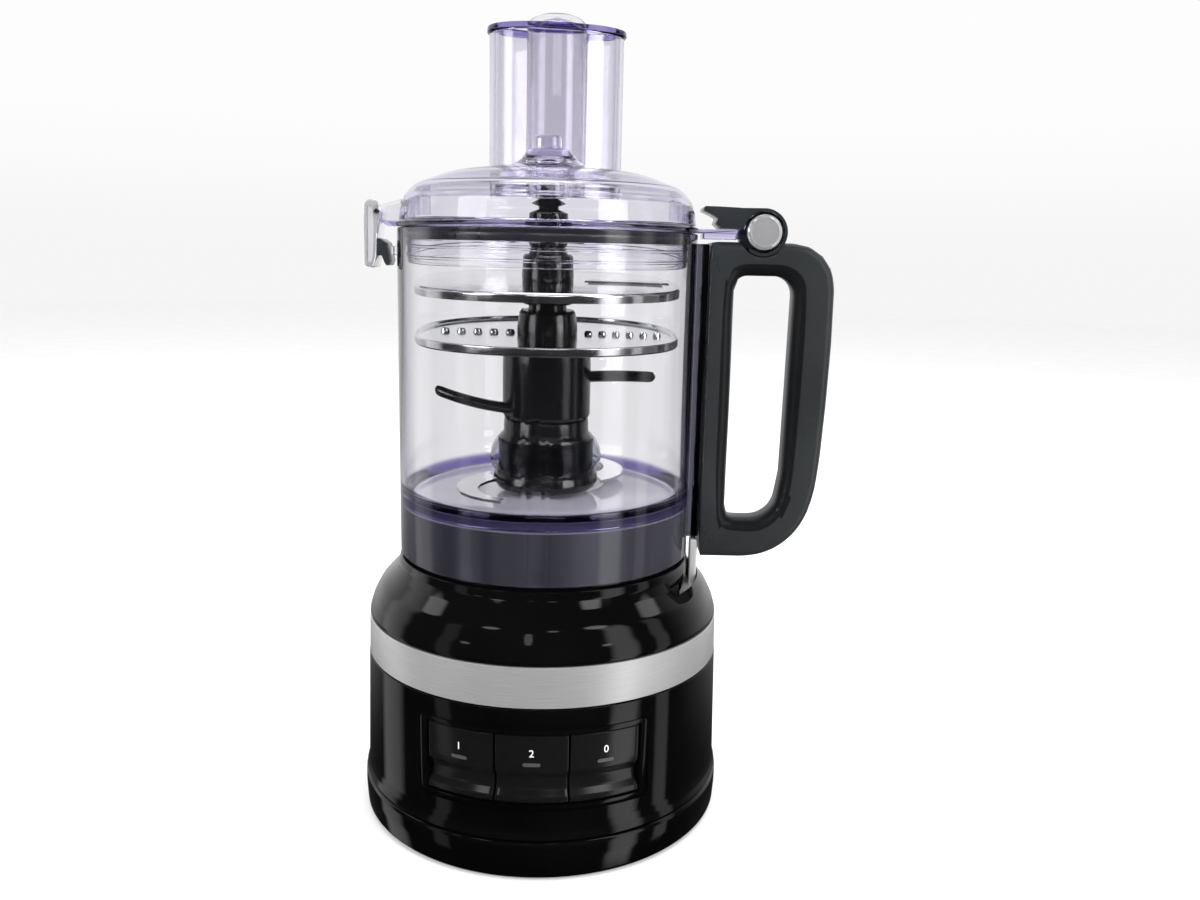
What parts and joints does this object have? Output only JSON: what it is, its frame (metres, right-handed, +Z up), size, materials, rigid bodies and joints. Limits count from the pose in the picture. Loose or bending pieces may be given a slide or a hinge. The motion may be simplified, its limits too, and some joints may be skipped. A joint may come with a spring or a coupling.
{
  "type": "food processor",
  "caption": "Countertop food processor: round motor base with paddle buttons, clear bowl with loop handle, hinged domed lid with feed tube, nested pushers and stored blades and discs.",
  "frame": {"origin": "on the spindle axis, at the level the feet stand on", "axes": "+Z up along the spindle, +X towards the handle, -Y towards the buttons"},
  "size_m": [0.2547, 0.205, 0.437],
  "materials": {
    "gloss_black": "gloss",
    "charcoal": "satin",
    "clear_plastic": "clear, faint violet tint",
    "smoke_plastic": "translucent smoke grey",
    "steel": "bright",
    "chrome": "polished",
    "brushed_silver": "fine horizontal brushing",
    "rubber": "matt",
    "motor_metal": "matt",
    "board": "satin",
    "bronze": "satin"
  },
  "bodies": {
    "base": {"bottom_cover": "gloss_black", "lower_housing": "gloss_black", "upper_housing": "gloss_black", "control_bezel": "gloss_black", "trim_band": "brushed_silver", "foot_1": "rubber", "foot_2": "rubber", "foot_3": "rubber", "foot_4": "rubber", "control_board": "board", "switch_1": "charcoal", "switch_2": "charcoal", "switch_3": "charcoal", "drive_frame": "motor_metal", "lower_bearing": "bronze", "upper_bearing": "bronze", "motor_can": "motor_metal", "drive_belt": "rubber", "cord_gland": "rubber", "interlock_switch": "charcoal"},
    "slider": {"interlock_slider": "brushed_silver"},
    "plunger": {"interlock_plunger": "charcoal"},
    "bowl": {"work_bowl": "clear_plastic", "handle": "charcoal", "hinge_pin": "steel", "hinge_cap_front": "chrome", "hinge_cap_rear": "chrome"},
    "rod": {"interlock_rod": "steel"},
    "lid": {"lid": "clear_plastic", "lid_gasket": "rubber", "hinge_arm": "charcoal", "latch_pin": "steel"},
    "latch": {"latch_lever": "chrome"},
    "large_pusher": {"large_pusher": "clear_plastic"},
    "small_pusher": {"small_pusher": "clear_plastic"},
    "spindle": {"drive_spindle": "steel", "drive_pulley": "motor_metal"},
    "rotor": {"motor_shaft": "steel", "motor_pulley": "steel"},
    "tools": {"drive_stem": "gloss_black", "blade_hub": "smoke_plastic", "blade_lower": "steel", "blade_upper": "steel", "dough_blade": "smoke_plastic", "shredding_hub": "gloss_black", "shredding_disc": "steel", "slicing_hub": "gloss_black", "slicing_disc": "steel", "slicing_blade": "steel"},
    "button_1": {"button_1": "gloss_black"},
    "button_2": {"button_2": "gloss_black"},
    "button_pulse": {"button_pulse": "gloss_black"}
  },
  "joints": [
    {"name": "bowl_twist", "type": "hinge", "parent": "base", "child": "slider", "pos_m": [0, 0, 0.14], "axis": [0, 0, 1], "range_deg": [-25, 0]},
    {"name": "bowl_lift", "type": "slide", "parent": "slider", "child": "bowl", "axis": [0, 0, 1], "range_m": [0, 0.15]},
    {"name": "lid_hinge", "type": "hinge", "parent": "bowl", "child": "lid", "pos_m": [0.1139, 0, 0.3204], "axis": [0, 1, 0], "range_deg": [0, 95]},
    {"name": "latch_hinge", "type": "hinge", "parent": "lid", "child": "latch", "pos_m": [-0.0895, 0, 0.327], "axis": [0, 1, 0], "range_deg": [0, 55]},
    {"name": "large_pusher_slide", "type": "slide", "parent": "lid", "child": "large_pusher", "axis": [0, 0, 1], "range_m": [0, 0.086]},
    {"name": "small_pusher_slide", "type": "slide", "parent": "large_pusher", "child": "small_pusher", "axis": [0, 0, 1], "range_m": [0, 0.082]},
    {"name": "tools_spin", "type": "hinge", "parent": "bowl", "child": "tools", "pos_m": [0, 0, 0.2], "axis": [0, 0, 1], "continuous": true},
    {"name": "spindle_spin", "type": "hinge", "parent": "base", "child": "spindle", "pos_m": [0, 0, 0.1], "axis": [0, 0, 1], "continuous": true},
    {"name": "motor_spin", "type": "hinge", "parent": "base", "child": "rotor", "pos_m": [0, 0.052, 0.05], "axis": [0, 0, 1], "continuous": true},
    {"name": "interlock_rod_slide", "type": "slide", "parent": "bowl", "child": "rod", "axis": [0, 0, 1], "range_m": [0, 0.003]},
    {"name": "interlock_plunger_slide", "type": "slide", "parent": "slider", "child": "plunger", "axis": [0, 0, 1], "range_m": [0, 0.003]},
    {"name": "button_1_press", "type": "hinge", "parent": "base", "child": "button_1", "pos_m": [-0.03446, -0.0853, 0.0745], "axis": [0.9272, -0.3746, 0], "range_deg": [0, 3.5], "stiffness_Nm_per_rad": 0.6},
    {"name": "button_2_press", "type": "hinge", "parent": "base", "child": "button_2", "pos_m": [0, -0.092, 0.0745], "axis": [1, 0, 0], "range_deg": [0, 3.5], "stiffness_Nm_per_rad": 0.6},
    {"name": "button_pulse_press", "type": "hinge", "parent": "base", "child": "button_pulse", "pos_m": [0.03446, -0.0853, 0.0745], "axis": [0.9272, 0.3746, 0], "range_deg": [0, 3.5], "stiffness_Nm_per_rad": 0.6}
  ],
  "couplings": [
    {"joint": "spindle_spin", "follows": "tools_spin", "ratio": 1},
    {"joint": "motor_spin", "follows": "tools_spin", "ratio": 3.9},
    {"joint": "interlock_plunger_slide", "follows": "interlock_rod_slide", "ratio": 1}
  ]
}
